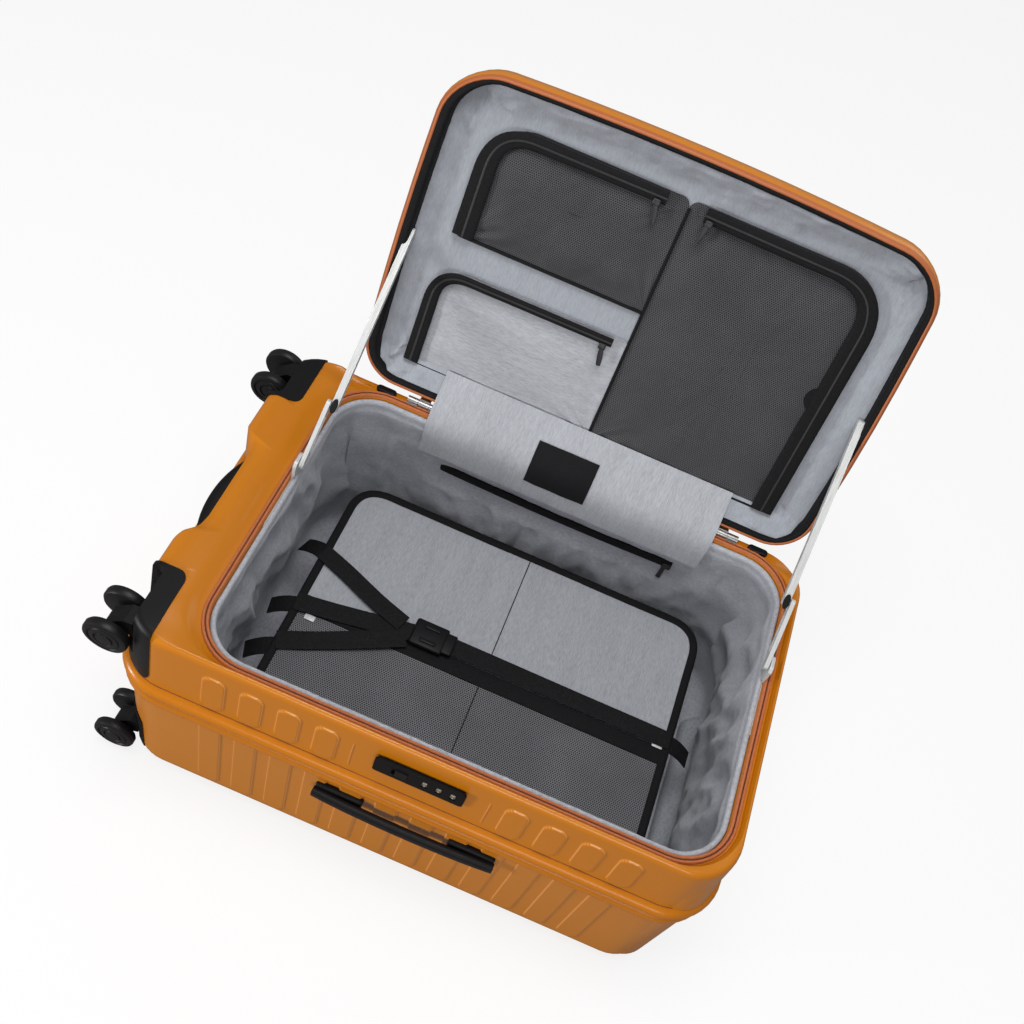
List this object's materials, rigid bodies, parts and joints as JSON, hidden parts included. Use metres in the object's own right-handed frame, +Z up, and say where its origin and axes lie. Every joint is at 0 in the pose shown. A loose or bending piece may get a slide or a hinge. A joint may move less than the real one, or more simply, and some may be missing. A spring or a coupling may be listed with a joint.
{
  "type": "hard shell suitcase",
  "caption": "Hard shell travel suitcase lying open on its back, with hinged lid, folding stays, spinner casters, trolley handle, lined interior and combination lock.",
  "frame": {"origin": "centre of the back face the case lies on", "axes": "+Z up out of the back face, +X towards the trolley handle end, +Y towards the lid hinges"},
  "size_m": [0.7584, 0.6396, 0.7211],
  "materials": {
    "orange_shell": "satin moulded shell",
    "orange_bead": "satin extruded bead",
    "salmon_tape": "woven zip tape",
    "grey_lining": "heathered polyester",
    "black_trim": "woven black trim",
    "dark_mesh": "fine hexagonal mesh",
    "black_webbing": "ribbed webbing",
    "black_plastic": "fine moulded grain",
    "grey_plastic": "moulded",
    "caster_tyre": "satin rubber",
    "stay_steel": "pale grey satin",
    "hinge_steel": "brushed",
    "tube_aluminium": "anodised",
    "lock_black": "satin",
    "dial_dark": "dark plated",
    "puller_grey": "dark nickel"
  },
  "bodies": {
    "case": {"rear_shell": "orange_shell", "front_frame": "orange_shell", "expansion_bead": "orange_bead", "body_zip_ring": "salmon_tape", "body_lining": "grey_lining", "hinge_flap": "grey_lining", "flap_patch": "black_trim", "wall_zip": "black_trim", "strap_anchors": "black_webbing", "stay_brackets": "stay_steel", "hinge_ears": "hinge_steel", "hinge_pins": "hinge_steel", "corner_guards": "black_plastic", "handle_mounts": "black_plastic", "bottom_grab_handle": "black_plastic", "trolley_outer_tubes": "tube_aluminium", "trolley_bezel": "black_plastic", "lock_housing": "lock_black", "rim_bumpers": "black_plastic"},
    "lid": {"lid_shell": "orange_shell", "lid_gusset": "black_trim", "lid_lining": "grey_lining", "lid_flap": "grey_lining", "mesh_pocket_small": "dark_mesh", "mesh_pocket_large": "dark_mesh", "fabric_pocket": "grey_lining", "pocket_zips": "black_trim", "zip_pullers": "puller_grey", "stay_rails": "grey_plastic", "hinge_leaves": "hinge_steel"},
    "packing_panel": {"panel_fabric": "grey_lining", "panel_mesh": "dark_mesh", "panel_border": "black_trim", "panel_straps": "black_webbing", "strap_buckle": "black_plastic"},
    "trolley_middle": {"trolley_middle_tubes": "tube_aluminium"},
    "trolley_inner": {"trolley_inner_tubes": "tube_aluminium", "trolley_grip": "black_plastic"},
    "trolley_button": {"trolley_button": "black_plastic"},
    "side_handle": {"side_handle": "black_plastic"},
    "top_handle": {"top_handle": "black_plastic"},
    "lock_release": {"lock_release": "black_plastic"},
    "stay_link_left": {"stay_link_left": "stay_steel"},
    "stay_arm_left": {"stay_arm_left": "stay_steel", "knee_button_left": "black_plastic"},
    "stay_link_right": {"stay_link_right": "stay_steel"},
    "stay_arm_right": {"stay_arm_right": "stay_steel", "knee_button_right": "black_plastic"},
    "caster_fork_front_near": {"caster_fork_front_near": "black_plastic"},
    "caster_wheels_front_near": {"caster_wheels_front_near": "caster_tyre"},
    "caster_fork_front_far": {"caster_fork_front_far": "black_plastic"},
    "caster_wheels_front_far": {"caster_wheels_front_far": "caster_tyre"},
    "caster_fork_rear_near": {"caster_fork_rear_near": "black_plastic"},
    "caster_wheels_rear_near": {"caster_wheels_rear_near": "caster_tyre"},
    "caster_fork_rear_far": {"caster_fork_rear_far": "black_plastic"},
    "caster_wheels_rear_far": {"caster_wheels_rear_far": "caster_tyre"},
    "lock_dial_1": {"lock_dial_1": "dial_dark"},
    "lock_dial_2": {"lock_dial_2": "dial_dark"},
    "lock_dial_3": {"lock_dial_3": "dial_dark"}
  },
  "joints": [
    {"name": "lid_hinge", "type": "hinge", "parent": "case", "child": "lid", "pos_m": [0, 0.214, 0.3255], "axis": [1, 0, 0], "range_deg": [0, 109.5]},
    {"name": "stay_link_hinge_left", "type": "hinge", "parent": "case", "child": "stay_link_left", "pos_m": [0, 0.05, 0.338], "axis": [1, 0, 0], "range_deg": [-36, 0.5]},
    {"name": "stay_knee_hinge_left", "type": "hinge", "parent": "stay_link_left", "child": "stay_arm_left", "pos_m": [0, 0.11126, 0.38128], "axis": [1, 0, 0], "range_deg": [-0.5, 181]},
    {"name": "stay_link_hinge_right", "type": "hinge", "parent": "case", "child": "stay_link_right", "pos_m": [0, 0.05, 0.338], "axis": [1, 0, 0], "range_deg": [-36, 0.5]},
    {"name": "stay_knee_hinge_right", "type": "hinge", "parent": "stay_link_right", "child": "stay_arm_right", "pos_m": [0, 0.11126, 0.38128], "axis": [1, 0, 0], "range_deg": [-0.5, 181]},
    {"name": "packing_panel_hinge", "type": "hinge", "parent": "case", "child": "packing_panel", "pos_m": [0, 0.19, 0.15], "axis": [1, 0, 0], "range_deg": [-80, 0]},
    {"name": "caster_swivel_front_near", "type": "hinge", "parent": "case", "child": "caster_fork_front_near", "pos_m": [-0.337, -0.194, 0.3], "axis": [-1, 0, 0], "continuous": true},
    {"name": "caster_roll_front_near", "type": "hinge", "parent": "caster_fork_front_near", "child": "caster_wheels_front_near", "pos_m": [-0.357, -0.194, 0.286], "axis": [0, 1, 0], "continuous": true},
    {"name": "caster_swivel_front_far", "type": "hinge", "parent": "case", "child": "caster_fork_front_far", "pos_m": [-0.337, 0.194, 0.3], "axis": [-1, 0, 0], "continuous": true},
    {"name": "caster_roll_front_far", "type": "hinge", "parent": "caster_fork_front_far", "child": "caster_wheels_front_far", "pos_m": [-0.357, 0.194, 0.286], "axis": [0, 1, 0], "continuous": true},
    {"name": "caster_swivel_rear_near", "type": "hinge", "parent": "case", "child": "caster_fork_rear_near", "pos_m": [-0.337, -0.194, 0.05], "axis": [-1, 0, 0], "continuous": true},
    {"name": "caster_roll_rear_near", "type": "hinge", "parent": "caster_fork_rear_near", "child": "caster_wheels_rear_near", "pos_m": [-0.357, -0.194, 0.036], "axis": [0, 1, 0], "continuous": true},
    {"name": "caster_swivel_rear_far", "type": "hinge", "parent": "case", "child": "caster_fork_rear_far", "pos_m": [-0.337, 0.194, 0.05], "axis": [-1, 0, 0], "continuous": true},
    {"name": "caster_roll_rear_far", "type": "hinge", "parent": "caster_fork_rear_far", "child": "caster_wheels_rear_far", "pos_m": [-0.357, 0.194, 0.036], "axis": [0, 1, 0], "continuous": true},
    {"name": "trolley_middle_slide", "type": "slide", "parent": "case", "child": "trolley_middle", "axis": [1, 0, 0], "range_m": [0, 0.26]},
    {"name": "trolley_inner_slide", "type": "slide", "parent": "trolley_middle", "child": "trolley_inner", "axis": [1, 0, 0], "range_m": [0, 0.27]},
    {"name": "trolley_button_press", "type": "slide", "parent": "trolley_inner", "child": "trolley_button", "axis": [-1, 0, 0], "range_m": [0, 0.0015], "stiffness_N_per_m": 400},
    {"name": "side_handle_pull", "type": "slide", "parent": "case", "child": "side_handle", "axis": [0, -1, 0], "range_m": [0, 0.008], "stiffness_N_per_m": 300},
    {"name": "top_handle_pull", "type": "slide", "parent": "case", "child": "top_handle", "axis": [1, 0, 0], "range_m": [0, 0.008], "stiffness_N_per_m": 300},
    {"name": "lock_release_slide", "type": "slide", "parent": "case", "child": "lock_release", "axis": [-1, 0, 0], "range_m": [0, 0.003], "stiffness_N_per_m": 200},
    {"name": "lock_dial_turn_1", "type": "hinge", "parent": "case", "child": "lock_dial_1", "pos_m": [0.013, -0.22238, 0.285], "axis": [1, 0, 0], "continuous": true},
    {"name": "lock_dial_turn_2", "type": "hinge", "parent": "case", "child": "lock_dial_2", "pos_m": [0.029, -0.22238, 0.285], "axis": [1, 0, 0], "continuous": true},
    {"name": "lock_dial_turn_3", "type": "hinge", "parent": "case", "child": "lock_dial_3", "pos_m": [0.045, -0.22238, 0.285], "axis": [1, 0, 0], "continuous": true}
  ],
  "couplings": [
    {"joint": "stay_link_hinge_left", "follows": "lid_hinge", "ratio": -0.32183},
    {"joint": "stay_knee_hinge_left", "follows": "lid_hinge", "ratio": 1.6426},
    {"joint": "stay_link_hinge_right", "follows": "lid_hinge", "ratio": -0.32183},
    {"joint": "stay_knee_hinge_right", "follows": "lid_hinge", "ratio": 1.6426}
  ]
}
